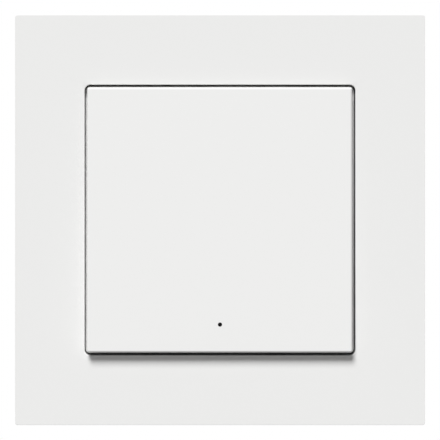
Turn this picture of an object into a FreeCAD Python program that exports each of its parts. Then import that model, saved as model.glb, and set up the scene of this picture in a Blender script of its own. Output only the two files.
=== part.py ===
import FreeCAD, Part
import math
import os

# A wireless remote wall switch: a square cover frame round one large rocker, both carried by a
# battery housing that hooks onto a thin plate on the wall. All sizes are in millimetres.
#
# Each piece is drawn lying on its back: X to the right, Y up the wall and Z out from the wall,
# whose face is at Z = 0. stand() then turns it upright, so that the finished part has +Z up and
# looks along -Y, with its origin on the wall behind the middle of the switch.

Vector = FreeCAD.Vector
OUT = Vector(0, 0, 1)
ALONG_X = Vector(1, 0, 0)
ALONG_Y = Vector(0, 1, 0)

# Fits and clearances
seat_gap = 0.05            # between a hook's nose and the flange that it holds
edge_gap = 0.3             # between a hook's arm and the flange's edge
pin_fit = 0.05             # round a pivot pin, a light pipe or an adhesive pad
lid_fit = 0.12             # round the rear cover in its chamber
slide_fit = 0.15           # round a sliding plunger or button
cell_fit = 0.2             # round a battery cell
contact_gap = 0.05         # at each side of a contact sheet
contact_fit = 0.1          # from a contact sheet's corners to its bay
press_gap = 0.03           # between the rocker's bosses and the plungers at rest
stop_gap = 0.05            # from a stop rib to the housing at full tilt
lug_play = 0.2             # from a pivot lug to the root of its pin
rocker_play = 0.85         # from the housing to the rocker's walls
rocker_gap = 0.65          # round the rocker in its opening
skirt_gap = 0.35           # round the wider skirt of the rocker in the same opening
window_gap = 1.1           # round the housing in the plate's window
overcut = 1.0              # how far a cutting tool runs past the material

# Battery cells, their bays and their contacts
cell_diameter = 10.5
cell_length = 44.5
cell_nub_radius = 1.9
cell_nub = 1.0
cell_shoulder = 0.8
contact_sheet = 0.4
contact_inset = 0.95       # from the bay's widest line to a contact's edge
contact_foot = 1.05        # from the bay's deepest line to a contact's lower edge
tab_overlap = 1.0
tab_height = 2.4
coil_length = 2.55
coil_wire = 0.6
coil_wide = 3.4
coil_narrow = 1.9
coil_turns = 2.0

# What stands on the circuit board
board_thick = 1.0
board_margin = 0.25
shield_size = (12.0, 11.0, 2.2)
shield_sheet = 0.2
chip_size = (7.0, 7.0, 0.9)
chip_dot = 0.4
crystal_size = (3.2, 5.0, 0.8)
capacitor_radius = 2.0
capacitor_bevel = 0.3
capacitor_head_gap = 0.5
capacitor_foot = 4.3
capacitor_foot_thick = 0.7
antenna_radius = 0.4
antenna_end = 3.0
antenna_bend = 2.0
led_size = (2.0, 1.25, 0.5)
led_lens = (1.2, 0.8, 0.3)
switch_side = 6.2
switch_tall = 3.8
switch_floor = 0.4
switch_roof = 0.6
leg_width = 0.7
leg_reach = 0.9
leg_thick = 0.3
leg_spread = 2.2
system_side = 4.6
system_tall = 1.8

# Spaces left on the board, and how far pieces stand from the chamber's walls
shield_inset = 2.15
chip_inset = 1.15
shield_to_chip = 3.0
shield_to_switch = 1.2
chip_to_switch = 3.2
chip_to_crystal = 1.2
capacitor_inset = (4.45, 13.25)
antenna_inset = (1.25, 1.5)
antenna_tail = 2.5
switch_inset = 8.4
led_inset = 2.4
button_inset = (4.65, 3.7)
screw_inset = (3.85, 3.4)
lid_post_inset = (2.85, 14.2)

# Unit housing
housing_back = 0.8
housing_wall = 1.0
housing_corner = 1.0
partition = 0.9            # between the chamber and a cell's bay
barrel_wall = 0.95
barrel_bevel = 0.8
end_wall = 1.4
chamber_extra = 0.2        # how far the chamber runs past the bays
cell_back_gap = 0.55
flange_thick = 1.6
flange_corner = 3.0
support_thick = 1.2
support_tall = 4.8
support_start = 8.0
notch_margin = 0.2

# Key switch plungers and springs
plunger_rise = 1.0         # how far a plunger stands out of the housing
plunger_stroke = 0.6
plunger_radius = 1.3
plunger_dome = 3.0
plunger_collar_radius = 1.8
plunger_collar_thick = 0.6
spring_wire = 0.25
spring_radius = 1.3
spring_turns = 2.0
wire_sides = 6             # flats on the section of a drawn wire
switch_head_gap = 0.6      # from a key switch to the chamber's front wall

# System button
button_rise = 0.8
button_radius = 1.8
button_flange_radius = 2.3
button_flange_thick = 0.5
button_rest_gap = 0.2
button_stem_radius = 0.9
button_stem_depth = 0.3
button_edge = 0.3

# Light pipe over the status light
pipe_radius = 1.0
pipe_rise = 2.2
pipe_led_gap = 0.2
pipe_flange_radius = 1.6
pipe_flange = 0.8

# Rear cover and its screws
boss_radius = 2.2
boss_shoulder_radius = 3.0
pilot_radius = 0.88
pilot_roof = 2.0           # left over a screw's pilot hole
pilot_spare = 1.0          # depth left under a screw's tip
screw_radius = 0.85
screw_head_radius = 1.7
screw_head = 0.85
screw_cross = (1.6, 0.4, 0.4)
lid_thick = 1.2
lid_post_side = 2.0
lid_post_length = 3.6

# Rocker
rocker_edge = 0.45
rocker_stand = 2.8         # from the housing to the rocker's face at its top
rocker_tip = 1.6           # how much further out its face stands at its bottom
rocker_lip = 1.2           # from the flange to the rocker's rim
rocker_face = 1.6
rocker_wall = 1.5
rocker_draft_deg = 0.8
skirt_drop = 2.2           # from the frame's face down to the step round the skirt
skirt_corner = 1.0
rocker_swing_deg = 2.0
rocker_slide = -0.1        # how far the rocker has slipped sideways in its play
rocker_lift = 0.12         # how far its face is centred above the pivot line
indicator_radius = 0.4
press_boss_radius = 1.6
stop_rib_x = 8.5
stop_rib_thick = 1.0
stop_rib_inset = (6.8, 2.8)
spine_drop = 0.9
pry_notch = (10.0, 1.2)    # width and depth of the finger notch in its rim

# Pivot of the rocker
pivot_rise = 2.0           # from the flange to the pivot line
pin_radius = 1.3
pin_root_radius = 1.9
pin_length = 1.1
pin_end_gap = 0.15
lug_radius = 2.5
lug_mouth = 2.1
lug_foot = 1.4

# Cover frame
frame_proud = 0.8          # how far the rocker's top edge stands out of the frame
frame_rear = 0.3
frame_face = 2.0
frame_skirt = 1.8
frame_corner = 0.5
frame_edge = 0.35
opening_corner = 1.2
opening_edge = 0.2
collar_wall = 1.4
rib_thick = 1.2
rib_drop = 3.0
rib_places = (-22.0, 0.0, 22.0)
frame_hook_place = 12.0
hook_width = 8.0
hook_arm = 1.25
hook_reach = 0.8           # how far a nose laps over the flange
hook_nose = 1.15
flange_lip = 2.2           # how far the flange reaches past the collar

# Mounting plate
plate_thick = 2.0
plate_corner = 4.0
plate_edge = 1.95          # from the hooks to the plate's edge
plate_gap = 5.7            # from the plate to the frame's skirt
rim_width = 1.2
rim_rise = 1.0
slot_radius = 1.8
slot_length = 5.0
slot_margin = 1.0
plug_radius = 2.1
plug_margin = 2.0          # from the window's corner to a plug hole's middle
plate_hook_place = 16.0
pad_width = 6.4
pad_thick = 0.6
pad_to_slot = 4.2
pad_to_plug = 3.4
support_inset = 0.5
support_to_plug = 6.5

# Across the wall, from the cells and the board outwards
bay_radius = cell_diameter / 2 + cell_fit
bay_half = (cell_length + coil_length + 2 * contact_sheet + 3 * contact_gap) / 2
board_row = shield_inset + shield_size[0] + shield_to_chip + chip_size[0] + chip_inset
chamber_half_width = board_row / 2
chamber_half_length = bay_half + chamber_extra
bay_inner_side = chamber_half_width + partition
cell_x = bay_inner_side + bay_radius
barrel_radius = bay_radius + barrel_wall
box_half_width = cell_x + barrel_radius
box_half_height = bay_half + end_wall
box_half = max(box_half_width, box_half_height)
rocker_side = 2 * (box_half + rocker_play + rocker_wall)
opening_side = rocker_side + 2 * rocker_gap
collar_half = opening_side / 2 + collar_wall
flange_side = 2 * (collar_half + flange_lip)
hook_line = flange_side / 2 + edge_gap
hook_tip = hook_line - edge_gap - hook_reach
plate_side = 2 * (hook_line + hook_arm + plate_edge)
plate_window = 2 * (box_half + window_gap)
frame_side = plate_side + 2 * (plate_gap + frame_skirt)
slot_place = plate_window / 2 + slot_margin + slot_length / 2
plug_place = plate_window / 2 + plug_margin
pad_x = (plate_window + plate_side) / 4
pad_span = (slot_radius + pad_to_slot, plug_place - plug_radius - pad_to_plug)
pad_length = pad_span[1] - pad_span[0]
support_near = plate_window / 2 + support_inset
support_span = (support_start, plug_place - support_to_plug)
pin_end = box_half + rocker_play - pin_end_gap
pin_start = pin_end - pin_length

# Out from the wall
lid_front = housing_back + lid_thick
board_back = lid_front + lid_post_length
board_front = board_back + board_thick
switch_top = board_front + switch_tall
chamber_front = switch_top + switch_head_gap
housing_front = chamber_front + housing_wall
cell_depth = housing_back + cell_back_gap + cell_diameter / 2
flange_rear = plate_thick + support_tall
flange_front = flange_rear + flange_thick
plunger_tip = housing_front + plunger_rise
plunger_collar_low = switch_top - switch_roof - plunger_stroke - plunger_collar_thick
button_tip = housing_front + button_rise
button_flange_high = chamber_front - button_rest_gap
button_flange_low = button_flange_high - button_flange_thick
button_stem_low = board_front + system_tall - button_stem_depth
pipe_low = board_front + led_size[2] + led_lens[2] + pipe_led_gap
pipe_tip = housing_front + pipe_rise
pilot_top = chamber_front - pilot_roof
screw_tip = pilot_top - pilot_spare
capacitor_tall = chamber_front - board_front - capacitor_head_gap
pivot_depth = flange_front + pivot_rise
rocker_rear = flange_front + rocker_lip
rocker_front_top = max(cell_depth + barrel_radius, plunger_tip) + rocker_stand
rocker_front_bottom = rocker_front_top + rocker_tip
rocker_front_middle = (rocker_front_top + rocker_front_bottom) / 2
frame_front = rocker_front_top - frame_proud
skirt_top = frame_front - skirt_drop
frame_inner_face = frame_front - frame_face

# Places on the board
switch_place = chamber_half_length - switch_inset
led_y = led_inset - chamber_half_length
button_place = (chamber_half_width - button_inset[0], button_inset[1] - chamber_half_length)
screw_place = (chamber_half_width - screw_inset[0], chamber_half_length - screw_inset[1])
lid_post_place = (
    chamber_half_width - lid_post_inset[0],
    chamber_half_length - lid_post_inset[1],
)
shield_place = (
    shield_inset + shield_size[0] / 2 - chamber_half_width,
    switch_place - switch_side / 2 - shield_to_switch - shield_size[1] / 2,
)
chip_place = (
    chamber_half_width - chip_inset - chip_size[0] / 2,
    chip_to_switch + switch_side / 2 + chip_size[1] / 2 - switch_place,
)
crystal_place = (
    chip_place[0],
    chip_place[1] + (chip_size[1] + crystal_size[1]) / 2 + chip_to_crystal,
)
capacitor_place = (
    capacitor_inset[0] - chamber_half_width,
    capacitor_inset[1] - chamber_half_length,
)
antenna_start = (
    antenna_inset[0] - chamber_half_width,
    shield_place[1] - shield_size[1] / 2 - antenna_tail,
)
antenna_corner = chamber_half_length - antenna_inset[1]

# Contacts and cells along the bays
contact_end = bay_half - contact_gap
contact_face = contact_end - contact_sheet
cell_plus_end = contact_face - contact_gap
cell_minus_end = cell_plus_end - cell_length
contact_width = 2 * (bay_radius - contact_inset)
contact_below = bay_radius - contact_foot
contact_above = math.sqrt((bay_radius - contact_fit) ** 2 - (contact_width / 2) ** 2)

# The rocker's slopes
rocker_slope = rocker_tip / rocker_side
rocker_draft = math.tan(math.radians(rocker_draft_deg))
rocker_swing = math.radians(rocker_swing_deg)
stop_rib_span = (switch_place - stop_rib_inset[0], switch_place - stop_rib_inset[1])


def outline(width, height, corner, depth, centre=(0.0, 0.0)):
    """Closed wire of a rectangle with round corners, at one distance from the wall."""
    half_width = width / 2 - corner
    half_height = height / 2 - corner
    arcs = []
    for turn, (right, up) in enumerate([(1, 1), (-1, 1), (-1, -1), (1, -1)]):
        middle = Vector(centre[0] + right * half_width, centre[1] + up * half_height, depth)
        arcs.append(Part.makeCircle(corner, middle, OUT, 90 * turn, 90 * turn + 90))
    sides = []
    for here, following in zip(arcs, arcs[1:] + arcs[:1]):
        start = here.valueAt(here.LastParameter)
        end = following.valueAt(following.FirstParameter)
        sides.append(Part.makeLine(start, end))
    edges = [edge for pair in zip(arcs, sides) for edge in pair]
    return Part.Wire(edges)


def plate(width, height, corner, low, high, centre=(0.0, 0.0)):
    """Flat slab with round corners between two distances from the wall."""
    face = Part.Face(outline(width, height, corner, low, centre))
    return face.extrude(Vector(0, 0, high - low))


def block(x_range, y_range, z_range):
    """Rectangular block between two limits each way."""
    low = Vector(min(x_range), min(y_range), min(z_range))
    high = Vector(max(x_range), max(y_range), max(z_range))
    size = high - low
    return Part.makeBox(size.x, size.y, size.z, low)


def frustum(low_side, high_side, low, high, centre):
    """Square block whose four sides lean, from one width to another."""
    near = low_side / 2
    far = high_side / 2
    shape = Part.makeWedge(-near, low, -near, -far, -far, near, high, near, far, far)
    shape.rotate(Vector(0, 0, 0), ALONG_X, 90)
    shape.translate(Vector(centre[0], centre[1], 0))
    return shape


def slab(size, low, high, centre=(0.0, 0.0)):
    """Square-cornered plate, centred at one place."""
    width, height = size
    x, y = centre
    return block((x - width / 2, x + width / 2), (y - height / 2, y + height / 2), (low, high))


def rod(radius, low, high, centre=(0.0, 0.0)):
    """Round rod that stands out from the wall."""
    return Part.makeCylinder(radius, high - low, Vector(centre[0], centre[1], low), OUT)


def cone(low_radius, high_radius, low, high, centre=(0.0, 0.0)):
    """Tapered rod that stands out from the wall."""
    foot = Vector(centre[0], centre[1], low)
    return Part.makeCone(low_radius, high_radius, high - low, foot, OUT)


def prism(points, axis, start, end):
    """Solid of a side view: (y, z) points run along X, or (x, z) points along Y."""
    if axis == ALONG_X:
        corners = [Vector(start, across, out) for across, out in points]
    else:
        corners = [Vector(across, start, out) for across, out in points]
    face = Part.Face(Part.makePolygon(corners + corners[:1]))
    return face.extrude(axis * (end - start))


def bevelled_ends(round_bar, bevel):
    """The round bar with its end edges bevelled."""
    rims = [edge for edge in round_bar.Edges if edge.isClosed() and len(edge.Vertexes) == 1]
    circles = [edge for edge in rims if abs(edge.Curve.Radius) > bevel]
    return round_bar.makeChamfer(bevel, circles)


def fuse(pieces):
    """One solid of several that meet."""
    return pieces[0].multiFuse(pieces[1:]).removeSplitter()


def flat_edges(shape, depth, half_reach=frame_side):
    """Edges that lie at one distance from the wall, inside a square about the middle."""
    found = []
    for edge in shape.Edges:
        box = edge.BoundBox
        level = abs(box.ZMin - depth) < 1e-4 and abs(box.ZMax - depth) < 1e-4
        reach = max(abs(box.XMin), abs(box.XMax), abs(box.YMin), abs(box.YMax))
        if level and reach < half_reach:
            found.append(edge)
    return found


def half_turned(shape):
    """The same shape turned half round, as it would look upside down."""
    copy = shape.copy()
    copy.rotate(Vector(0, 0, 0), OUT, 180)
    return copy


def quarter_turned(shape):
    """The same shape turned a quarter round."""
    copy = shape.copy()
    copy.rotate(Vector(0, 0, 0), OUT, 90)
    return copy


def on_four_sides(shape):
    """The shape, repeated at each side of the square."""
    pair = [shape, half_turned(shape)]
    return pair + [quarter_turned(one) for one in pair]


def wire_corners():
    """Angles of the corners of a drawn wire's section, which has a flat on each side."""
    return [2 * math.pi * (side + 0.5) / wire_sides for side in range(wire_sides + 1)]


def coil(radius, end_radius, wire, turns, low, high):
    """Round or conical spring of drawn wire that stands on the wall face at the origin."""
    rise = high - low - wire
    angle = math.degrees(math.atan2(end_radius - radius, rise))
    path = Part.makeHelix(rise / turns, rise, radius, angle)
    reach = wire / 2
    section = [
        Vector(radius + reach * math.cos(turn), 0, reach * math.sin(turn))
        for turn in wire_corners()
    ]
    profile = Part.makePolygon(section)
    solid = Part.Wire(path.Edges).makePipeShell([profile], True, True)
    solid.translate(Vector(0, 0, low + wire / 2))
    return solid


def make_mounting_plate():
    """Back plate: screwed or stuck to the wall, it holds the unit by four hooks."""
    body = plate(plate_side, plate_side, plate_corner, 0, plate_thick)
    rim = plate(plate_side, plate_side, plate_corner, plate_thick, plate_thick + rim_rise)
    inside = plate_side - 2 * rim_width
    rim_top = plate_thick + rim_rise
    hollow = plate(inside, inside, plate_corner - rim_width, plate_thick, rim_top + overcut)
    pieces = [body, rim.cut(hollow)]

    nose_low = flange_front + seat_gap
    nose_top = nose_low + hook_nose
    side_view = [
        (hook_line + hook_arm, plate_thick / 2),
        (hook_line + hook_arm, nose_top),
        (hook_line, nose_top),
        (hook_tip, nose_low + hook_nose / 3),
        (hook_tip, nose_low),
        (hook_line, nose_low),
        (hook_line, plate_thick / 2),
    ]
    windows = []
    for side in (-1, 1):
        start = side * plate_hook_place - hook_width / 2
        hook = prism(side_view, ALONG_X, start, start + hook_width)
        pieces += [hook, half_turned(hook)]
        window = block((start, start + hook_width), (hook_tip, hook_line), (-overcut, nose_low))
        windows += [window, half_turned(window)]

    window_reach = plate_thick + overcut
    cuts = [plate(plate_window, plate_window, plate_corner / 2, -overcut, window_reach)]
    cuts += on_four_sides(rod_ended_slot(slot_place))
    cuts += windows
    for x in (-plug_place, plug_place):
        for y in (-plug_place, plug_place):
            cuts.append(rod(plug_radius, -overcut, window_reach, (x, y)))
    pocket = (pad_width + 2 * pin_fit, pad_length + 2 * pin_fit)
    cuts += [slab(pocket, -overcut, pad_thick, centre) for centre in pad_centres()]
    return fuse(pieces).cut(Part.makeCompound(cuts))


def rod_ended_slot(place):
    """Cutting tool of a slot that runs out from the middle, centred at one place on X."""
    reach = slot_length / 2 - slot_radius
    top = plate_thick + overcut
    ends = [rod(slot_radius, -overcut, top, (place + side * reach, 0)) for side in (-1, 1)]
    middle = block((place - reach, place + reach), (-slot_radius, slot_radius), (-overcut, top))
    return fuse(ends + [middle])


def pad_centres():
    """Where the four adhesive pads lie on the plate's side bars."""
    pad_y = sum(pad_span) / 2
    return [(x, y) for x in (-pad_x, pad_x) for y in (-pad_y, pad_y)]


def make_adhesive_pads():
    """Four foam pads in the plate's recesses, level with its back."""
    pad = (pad_width, pad_length)
    return Part.makeCompound([slab(pad, 0, pad_thick, centre) for centre in pad_centres()])


def make_cover_frame():
    """Square frame: face, skirt, collar round the rocker, ribs and four snap hooks."""
    shell = plate(frame_side, frame_side, frame_corner, frame_rear, frame_front)
    shell = shell.makeFillet(frame_edge, flat_edges(shell, frame_front))
    inside = frame_side - 2 * frame_skirt
    hollow = plate(inside, inside, frame_corner, frame_rear - overcut, frame_inner_face)
    pieces = [shell.cut(hollow)]

    collar_side = 2 * collar_half
    collar_corner = opening_corner + collar_wall
    collar = plate(collar_side, collar_side, collar_corner, flange_front, frame_inner_face + 0.5)
    pieces.append(collar)

    rib_low = frame_inner_face - rib_drop
    for place in rib_places:
        rib = block(
            (collar_half - collar_wall / 2, frame_side / 2 - frame_skirt / 2),
            (place - rib_thick / 2, place + rib_thick / 2),
            (rib_low, frame_inner_face + frame_face / 2),
        )
        pieces += on_four_sides(rib)

    nose_high = flange_rear - seat_gap
    nose_low = nose_high - hook_nose
    end_view = [
        (hook_line + hook_arm, frame_inner_face + frame_face / 2),
        (hook_line + hook_arm, nose_low),
        (hook_line, nose_low),
        (hook_tip, nose_high - hook_nose / 3),
        (hook_tip, nose_high),
        (hook_line, nose_high),
        (hook_line, frame_inner_face + frame_face / 2),
    ]
    for side in (-1, 1):
        start = side * frame_hook_place - hook_width / 2
        hook = prism(end_view, ALONG_Y, start, start + hook_width)
        pieces += [hook, half_turned(hook)]

    frame = fuse(pieces)
    reach = frame_front + overcut
    opening = plate(opening_side, opening_side, opening_corner, flange_front - overcut, reach)
    frame = frame.cut(opening)
    lip = flat_edges(frame, frame_front, opening_side / 2 + opening_edge)
    return frame.makeChamfer(opening_edge, lip)


def barrel(radius, half_length, side):
    """Round bar up the wall round one cell's axis."""
    foot = Vector(side * cell_x, -half_length, cell_depth)
    return Part.makeCylinder(radius, 2 * half_length, foot, ALONG_Y)


def make_unit_housing():
    """Moulded housing: flange, two cell barrels, electronics chamber and pivot pins."""
    width = 2 * box_half_width
    height = 2 * box_half_height
    pieces = [
        plate(flange_side, flange_side, flange_corner, flange_rear, flange_front),
        plate(width, height, housing_corner, housing_back, flange_rear + flange_thick / 2),
    ]
    for side in (-1, 1):
        pieces.append(bevelled_ends(barrel(barrel_radius, box_half_height, side), barrel_bevel))
    spine_width = 2 * bay_inner_side
    pieces.append(plate(spine_width, height, housing_corner, flange_rear, housing_front))

    support = block(
        (support_near, support_near + support_thick), support_span, (plate_thick, flange_rear)
    )
    mirrored = support.mirror(Vector(0, 0, 0), ALONG_Y)
    pieces += on_four_sides(support) + on_four_sides(mirrored)

    for side in (-1, 1):
        for radius, end in ((pin_root_radius, pin_start), (pin_radius, pin_end)):
            foot = pivot_point(min(side * cell_x, side * end))
            pieces.append(Part.makeCylinder(radius, end - cell_x, foot, ALONG_X))
    body = fuse(pieces)

    back = housing_back - overcut
    cuts = []
    for side in (-1, 1):
        cuts.append(barrel(bay_radius, bay_half, side))
        near = side * cell_x - bay_radius
        mouth = block((near, near + 2 * bay_radius), (-bay_half, bay_half), (back, cell_depth))
        cuts.append(mouth)
    cuts.append(slab((2 * chamber_half_width, 2 * chamber_half_length), back, chamber_front))
    behind = frame_side / 2
    cuts.append(block((-behind, behind), (-behind, behind), (back, housing_back)))
    for x in (-1, 1):
        for y in (-1, 1):
            cuts.append(
                block(
                    (x * (chamber_half_width - overcut), x * (bay_inner_side + overcut)),
                    (y * (contact_face - notch_margin), y * bay_half),
                    (back, board_front + tab_height + notch_margin),
                )
            )
    low = chamber_front - overcut
    top = housing_front + overcut
    for y in (-switch_place, switch_place):
        cuts.append(rod(plunger_radius + slide_fit, low, top, (0, y)))
    cuts.append(rod(button_radius + slide_fit, low, top, button_place))
    cuts.append(rod(pipe_radius + pin_fit, low, top, (0, led_y)))
    body = body.cut(Part.makeCompound(cuts))

    bosses = []
    pilots = []
    for x, y in screw_centres():
        bosses.append(rod(boss_shoulder_radius, board_front, chamber_front, (x, y)))
        bosses.append(rod(boss_radius, lid_front, board_front, (x, y)))
        pilots.append(rod(pilot_radius, lid_front - overcut, pilot_top, (x, y)))
    return fuse([body] + bosses).cut(Part.makeCompound(pilots))


def pivot_point(x):
    """Point on the rocker's pivot line."""
    return Vector(x, 0, pivot_depth)


def screw_centres():
    """The two cover screws, at opposite corners of the chamber."""
    return [screw_place, (-screw_place[0], -screw_place[1])]


def make_rear_cover():
    """Lid over the electronics chamber, with posts that hold the board to its bosses."""
    size = (2 * (chamber_half_width - lid_fit), 2 * (chamber_half_length - lid_fit))
    pieces = [slab(size, housing_back, lid_front)]
    for x in (-lid_post_place[0], lid_post_place[0]):
        for y in (-lid_post_place[1], lid_post_place[1]):
            post = (lid_post_side, lid_post_side)
            pieces.append(slab(post, lid_front - lid_thick / 2, board_back, (x, y)))
    cuts = []
    for centre in screw_centres():
        cuts.append(rod(screw_radius + slide_fit, 0, lid_front + overcut, centre))
        head_radius = screw_head_radius + slide_fit
        hole_radius = screw_radius + slide_fit
        head_end = housing_back + screw_head + pin_fit
        cuts.append(cone(head_radius, hole_radius, housing_back + pin_fit, head_end, centre))
        cuts.append(rod(head_radius, 0, housing_back + pin_fit, centre))
    return fuse(pieces).cut(Part.makeCompound(cuts))


def make_cover_screws():
    """Two countersunk screws with cross recesses."""
    screws = []
    length, width, deep = screw_cross
    face = housing_back + pin_fit
    for x, y in screw_centres():
        head = cone(screw_head_radius, screw_radius, face, face + screw_head, (x, y))
        shank = rod(screw_radius, face + screw_head / 2, screw_tip, (x, y))
        screw = fuse([head, shank])
        for across, up in ((length, width), (width, length)):
            arm = block(
                (x - across / 2, x + across / 2), (y - up / 2, y + up / 2), (0, face + deep)
            )
            screw = screw.cut(arm)
        screws.append(screw)
    return Part.makeCompound(screws)


def make_circuit_board():
    """Board across the chamber, with clearance holes for the screw bosses."""
    size = (2 * (chamber_half_width - board_margin), 2 * (chamber_half_length - board_margin))
    board = slab(size, board_back, board_front)
    for centre in screw_centres():
        hole = rod(boss_radius + slide_fit, board_back - overcut, board_front + overcut, centre)
        board = board.cut(hole)
    return board


def make_radio_shield():
    """Drawn metal can over the radio, open to the board."""
    width, height, tall = shield_size
    top = board_front + tall
    can = slab((width, height), board_front, top, shield_place)
    inside = (width - 2 * shield_sheet, height - 2 * shield_sheet)
    return can.cut(slab(inside, board_front - overcut, top - shield_sheet, shield_place))


def make_microcontroller():
    """Flat square chip with a dot at its first contact."""
    width, height, tall = chip_size
    top = board_front + tall
    body = slab((width, height), board_front, top, chip_place)
    corner = (chip_place[0] - width / 2 + 2 * chip_dot, chip_place[1] + height / 2 - 2 * chip_dot)
    return body.cut(rod(chip_dot, top - chip_dot / 2, top + overcut, corner))


def make_buffer_capacitor():
    """Small round can on a square foot, which feeds the radio's short bursts."""
    foot_top = board_front + capacitor_foot_thick
    foot = slab((capacitor_foot, capacitor_foot), board_front, foot_top, capacitor_place)
    can_top = board_front + capacitor_tall
    can = rod(capacitor_radius, foot_top, can_top, capacitor_place)
    can = can.makeChamfer(capacitor_bevel, flat_edges(can, can_top))
    return fuse([foot, can])


def make_crystal():
    """Flat metal can of the clock crystal."""
    width, height, tall = crystal_size
    return plate(width, height, width / 6, board_front, board_front + tall, crystal_place)


def make_antenna_wire():
    """Bent wire aerial that runs up the board's edge and across its top."""
    x, y = antenna_start
    level = board_front + antenna_radius
    start = Vector(x, y, level)
    bend_start = Vector(x, antenna_corner - antenna_bend, level)
    half = antenna_bend * (1 - math.sqrt(0.5))
    bend_middle = Vector(x + half, antenna_corner - half, level)
    bend_end = Vector(x + antenna_bend, antenna_corner, level)
    end = Vector(antenna_end, antenna_corner, level)
    route = Part.Wire(
        [
            Part.LineSegment(start, bend_start).toShape(),
            Part.Arc(bend_start, bend_middle, bend_end).toShape(),
            Part.LineSegment(bend_end, end).toShape(),
        ]
    )
    section = [
        start + Vector(antenna_radius * math.cos(turn), 0, antenna_radius * math.sin(turn))
        for turn in wire_corners()
    ]
    return route.makePipeShell([Part.makePolygon(section)], True, False)


def make_switch_body(y):
    """Case of a key switch: bore for the spring and collar, and a narrower mouth."""
    pieces = [slab((switch_side, switch_side), board_front, switch_top, (0, y))]
    for side in (-1, 1):
        for row in (-1, 1):
            near = side * (switch_side / 2 - leg_width)
            far = side * (switch_side / 2 + leg_reach)
            middle = y + row * leg_spread
            rows = (middle - leg_width / 2, middle + leg_width / 2)
            pieces.append(block((near, far), rows, (board_front, board_front + leg_thick)))
    bore = plunger_collar_radius + slide_fit - pin_fit
    floor = board_front + switch_floor
    cuts = [
        rod(bore, floor, switch_top - switch_roof, (0, y)),
        rod(plunger_radius + slide_fit - pin_fit, floor, switch_top + overcut, (0, y)),
    ]
    return fuse(pieces).cut(Part.makeCompound(cuts))


def make_plunger(y):
    """Key switch plunger: a collar in the bore, and a stem with a domed tip."""
    collar_top = plunger_collar_low + plunger_collar_thick
    collar = rod(plunger_collar_radius, plunger_collar_low, collar_top, (0, y))
    stem = rod(plunger_radius, plunger_collar_low, plunger_tip, (0, y))
    ball = Part.makeSphere(plunger_dome, Vector(0, y, plunger_tip - plunger_dome))
    foot = rod(plunger_radius, plunger_collar_low, plunger_tip - plunger_dome / 2, (0, y))
    return fuse([collar, foot, stem.common(ball)])


def make_switch_spring(y):
    """Coil between the switch's floor and the plunger's collar."""
    floor = board_front + switch_floor
    spring = coil(spring_radius, spring_radius, spring_wire, spring_turns, floor, plunger_collar_low)
    spring.translate(Vector(0, y, 0))
    return spring


def make_system_switch():
    """Low push switch on the board, open at its top for the button's stem."""
    top = board_front + system_tall
    body = slab((system_side, system_side), board_front, top, button_place)
    floor = board_front + switch_floor
    return body.cut(rod(button_stem_radius + slide_fit, floor, top + overcut, button_place))


def make_system_button():
    """Small button behind the rocker, kept in by its flange."""
    cap = rod(button_radius, button_flange_low, button_tip, button_place)
    cap = cap.makeChamfer(button_edge, flat_edges(cap, button_tip))
    flange = rod(button_flange_radius, button_flange_low, button_flange_high, button_place)
    stem = rod(button_stem_radius, button_stem_low, button_flange_high, button_place)
    return fuse([cap, flange, stem])


def make_status_led():
    """Status light: a flat case with its lens on top."""
    case_top = board_front + led_size[2]
    case = slab(led_size[:2], board_front, case_top, (0, led_y))
    lens = slab(led_lens[:2], case_top, case_top + led_lens[2], (0, led_y))
    return fuse([case, lens])


def make_light_pipe():
    """Clear rod that carries the light to just behind the rocker's pinhole."""
    stem = rod(pipe_radius, pipe_low, pipe_tip, (0, led_y))
    flange = rod(pipe_flange_radius, chamber_front - pipe_flange, chamber_front, (0, led_y))
    return fuse([stem, flange])


def make_battery():
    """Left cell, its plus end up."""
    body_length = cell_length - cell_nub
    foot = Vector(-cell_x, cell_minus_end, cell_depth)
    body = Part.makeCylinder(cell_diameter / 2, body_length, foot, ALONG_Y)
    nub = Part.makeCylinder(cell_nub_radius, cell_length, foot, ALONG_Y)
    return fuse([bevelled_ends(body, cell_shoulder), nub])


def contact_sheet_piece(end):
    """Pressed sheet across one end of the left bay, with its tab to the board."""
    sheets = (end * contact_face, end * contact_end)
    across = (-cell_x - contact_width / 2, -cell_x + contact_width / 2)
    sheet = block(across, sheets, (cell_depth - contact_below, cell_depth + contact_above))
    board_edge = chamber_half_width - board_margin
    tab = block(
        (-cell_x, tab_overlap - board_edge), sheets, (board_front, board_front + tab_height)
    )
    return [sheet, tab]


def make_battery_plate():
    """Contact at the left cell's plus end."""
    return fuse(contact_sheet_piece(1))


def make_battery_spring():
    """Contact at the left cell's minus end, with a conical coil that bears on the cell."""
    solid = coil(coil_wide, coil_narrow, coil_wire, coil_turns, 0, coil_length)
    solid.rotate(Vector(0, 0, 0), ALONG_X, -90)
    solid.translate(Vector(-cell_x, -contact_face, cell_depth))
    return Part.makeCompound([fuse(contact_sheet_piece(-1)), solid])


def rocker_reach(depth):
    """Half width of the rocker at one distance from the wall, wider towards its rim."""
    return rocker_side / 2 + (rocker_front_middle - depth) * rocker_draft


def rocker_body(inset, low, sunk):
    """Drafted square body under the sloping face, smaller by a wall and lower by sunk."""
    high = rocker_front_bottom + overcut
    low_side = 2 * (rocker_reach(low) - inset)
    high_side = 2 * (rocker_reach(high) - inset)
    body = frustum(low_side, high_side, low, high, (rocker_slide, rocker_lift))
    reach = frame_side / 2
    above = prism(
        [
            (-reach, face_depth(-reach) - sunk),
            (reach, face_depth(reach) - sunk),
            (reach, high + frame_front),
            (-reach, high + frame_front),
        ],
        ALONG_X,
        -reach,
        reach,
    )
    return body.cut(above)


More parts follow.
